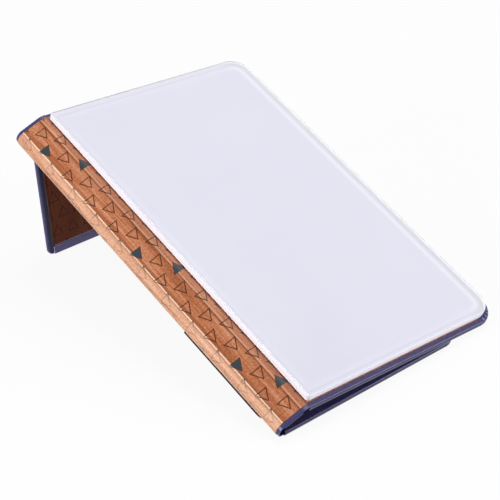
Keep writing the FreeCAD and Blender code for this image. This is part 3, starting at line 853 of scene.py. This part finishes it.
def makePleats(name, body, matrix, radius, height, corners):
    fan = []
    low, high = height
    middle = radius - pleat["depth"]
    for place, firstAngle in corners:
        for angle in pleat["angles"]:
            bpy.ops.object.select_all(action="DESELECT")
            bpy.ops.mesh.primitive_uv_sphere_add(segments=14, ring_count=10, radius=1)
            gather = bpy.context.object
            gather.scale = [half * mm for half in (*pleat["half"], (high - low) / 2)]
            gather.location = (middle * mm, 0, (low + high) / 2 * mm)
            bpy.ops.object.transform_apply(location=True, rotation=True, scale=True)
            # each pleat dies away towards the panel
            bpy.ops.object.mode_set(mode="EDIT")
            bpy.ops.mesh.select_all(action="DESELECT")
            mesh = bmesh.from_edit_mesh(gather.data)
            for vertex in mesh.verts:
                vertex.select_set(vertex.co.x < (middle - pleat["drawnFrom"]) * mm)
            bmesh.update_edit_mesh(gather.data)
            bpy.ops.transform.resize(value=(1, pleat["drawnIn"], 1), center_override=(0, 0, 0))
            bpy.ops.object.mode_set(mode="OBJECT")
            gather.rotation_euler = (0, 0, math.radians(firstAngle + angle))
            gather.location = (place[0] * mm, place[1] * mm, 0)
            bpy.ops.object.transform_apply(location=True, rotation=True, scale=True)
            fan.append(gather)
    choose(fan[0])
    for gather in fan:
        gather.select_set(True)
    bpy.ops.object.join()
    piece = bpy.context.object
    piece.name = name
    piece.data.name = name
    settle(piece, matrix, 60)
    finishPiece(piece, "leatherette")
    # the pleats are the paler painted-lit copy of the leatherette
    piece.data.materials[0] = materials["paintedLit"]
    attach(piece, body)


boardCorner, coverCorner = case["boardCorner"], case["coverCorner"]
cornerX = case["glass"][0] + case["endMargin"] - boardCorner
makePleats("boardPleats", "board", boardMatrix, boardCorner, pleat["boardHeight"],
           (((cornerX, nearY + boardCorner), -90), ((cornerX, caseLength + nearY - boardCorner), 0)))
makePleats("coverPleats", "cover", coverMatrix, coverCorner, pleat["coverHeight"],
           (((coverCorner, coverCorner), 180),))
print("pleats made")

# pocket on the cover's lining: a front of fabric on a thick bound rim along three sides, open at the far end
pocket = {"near": 11.0, "length": 60.0, "free": 12.0, "overhang": 2.2, "lift": 0.02, "height": 2.45,
          "sheet": 0.9, "seam": 5.0, "corner": 6.0, "round": 0.8, "rim": 3.4, "rimSlope": 0.5, "sunk": 0.35}
pocketHem = {"gap": 0.3, "deep": 4.0, "back": 0.15, "thick": 0.5, "into": 0.1, "round": 0.25}


def makePocket():
    low = (pocket["free"], pocket["near"], pocket["lift"])
    high = (coverWidth + pocket["overhang"], pocket["near"] + pocket["length"], pocket["height"])
    piece = addBlock("coverPocket", low, high)
    bevelEdges(piece, lambda a, b: upright(a, b) and a.y < low[1] + touch, pocket["corner"], 8)
    bevelEdges(piece, lambda a, b: min(a.z, b.z) > high[2] - touch, pocket["round"], 4)
    # the middle of the front lies a little lower than the bound rim
    bpy.ops.object.mode_set(mode="EDIT")
    bpy.ops.mesh.select_mode(type="FACE")
    bpy.ops.mesh.select_all(action="DESELECT")
    mesh = bmesh.from_edit_mesh(piece.data)
    max(mesh.faces, key=lambda face: face.calc_center_median().z * face.calc_area()).select_set(True)
    bmesh.update_edit_mesh(piece.data)
    bpy.ops.mesh.inset(thickness=pocket["rim"] * mm)
    bpy.ops.mesh.inset(thickness=pocket["rimSlope"] * mm, depth=-pocket["sunk"] * mm)
    bpy.ops.object.mode_set(mode="OBJECT")
    seam, ceiling = pocket["seam"], high[2] - pocket["sheet"]
    inside = addBlock("pocketInside", (low[0] + seam, low[1] + seam, -1.0),
                      (high[0] - seam, high[1] + 1.0, ceiling))
    choose(piece)
    hollow = piece.modifiers.new("hollow", "BOOLEAN")
    hollow.operation = "DIFFERENCE"
    hollow.object = inside
    bpy.ops.object.modifier_apply(modifier="hollow")
    bpy.data.objects.remove(inside)
    settle(piece, coverMatrix)
    finishPiece(piece, "pocket_fabric", "pocket")
    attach(piece, "cover")
    # turned hem along the mouth
    side = seam + pocketHem["gap"]
    hemLow = (low[0] + side, high[1] - pocketHem["deep"], ceiling - pocketHem["thick"])
    hemHigh = (high[0] - side, high[1] - pocketHem["back"], ceiling + pocketHem["into"])
    hem = addBlock("pocketHem", hemLow, hemHigh)
    bevelEdges(hem, lambda a, b: max(a.z, b.z) < hemLow[2] + touch, pocketHem["round"], 3)
    settle(hem, coverMatrix)
    finishPiece(hem, "pocket_fabric")
    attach(hem, "cover")


makePocket()
print("pocket made")

# camera of the photograph, in the board's frame
cameraPlace = {
    "lens": 114.3,
    "shift": (-0.0008, 0.001),
    "place": (-429.3, -244.0, 505.4),
    "right": (0.7354, -0.6187, 0.2764),
    "down": (-0.2903, -0.6563, -0.6964),
}


def makeCamera():
    data = bpy.data.cameras.new("photoCamera")
    camera = bpy.data.objects.new("photoCamera", data)
    bpy.context.scene.collection.objects.link(camera)
    right = (boardTurn @ Vector(cameraPlace["right"])).normalized()
    up = -(boardTurn @ Vector(cameraPlace["down"]))
    back = right.cross(up).normalized()
    up = back.cross(right)
    camera.matrix_world = Matrix((right, up, back)).transposed().to_4x4()
    camera.location = boardMatrix @ (Vector(cameraPlace["place"]) * mm)
    data.lens = cameraPlace["lens"]
    data.sensor_width = 36.0
    data.shift_x, data.shift_y = cameraPlace["shift"]
    data.clip_start, data.clip_end = 0.01, 20
    bpy.context.scene.camera = camera


makeCamera()

# floor and light: a pale floor that the camera and reflections see nearly white, a wide lamp overhead, a
# strong low one at the spine's side, and a weaker one in front for the rounded near edges
studio = {
    "floor": "#F4F4F6", "floorBounce": "#6E6E72", "floorWhite": 0.92, "world": 0.1,
    "lamps": {
        "overhead": {"place": (0.45, 0.1, 1.6), "size": 0.9, "power": 12.9},
        "left": {"place": (-1.45, 0.08, 0.38), "size": 0.6, "power": 22.5},
        "front": {"place": (0.95, -0.95, 0.5), "size": 0.6, "power": 10.5},
    },
}


def seenWhite(tree):
    path = addNode(tree, "LightPath")
    seen = addNode(tree, "Math", (path.outputs["Is Camera Ray"], path.outputs["Is Glossy Ray"]),
                   operation="MAXIMUM")
    return addNode(tree, "Math", (seen, path.outputs["Is Transmission Ray"]), operation="MAXIMUM")


def makeFloor():
    bpy.ops.object.select_all(action="DESELECT")
    bpy.ops.mesh.primitive_plane_add(size=8)
    floor = bpy.context.object
    floor.name = "floor"
    material, tree, shader = newMaterial("paleFloor")
    seen = seenWhite(tree)
    colour = addNode(tree, "Mix", {0: seen, 6: toLinear(studio["floorBounce"]), 7: toLinear(studio["floor"])},
                     data_type="RGBA")
    tree.links.new(colour.outputs[2], shader.inputs["Base Color"])
    shader.inputs["Roughness"].default_value = 0.9
    share = addNode(tree, "Math", (seen, studio["floorWhite"]), operation="MULTIPLY")
    glow = addNode(tree, "Emission", ((1, 1, 1, 1), 1.0))
    both = addNode(tree, "MixShader", (share, shader, glow))
    tree.links.new(both.outputs[0], tree.nodes["Material Output"].inputs["Surface"])
    floor.data.materials.append(material)


def makeLight():
    world = bpy.data.worlds.new("studio")
    world.use_nodes = True
    tree = world.node_tree
    level = addNode(tree, "MapRange", {0: seenWhite(tree), 3: studio["world"], 4: 1.0})
    background = tree.nodes["Background"]
    background.inputs[0].default_value = (1, 1, 1, 1)
    tree.links.new(level.outputs[0], background.inputs[1])
    bpy.context.scene.world = world
    for name, lamp in studio["lamps"].items():
        data = bpy.data.lights.new(name, "AREA")
        data.energy = lamp["power"]
        data.shape = "DISK"
        data.size = lamp["size"]
        light = bpy.data.objects.new(name, data)
        bpy.context.scene.collection.objects.link(light)
        light.location = lamp["place"]
        light.rotation_euler = (-Vector(lamp["place"])).to_track_quat("-Z", "Y").to_euler()


makeFloor()
makeLight()
bpy.context.scene.view_settings.view_transform = "Standard"
print("camera, floor and light set")
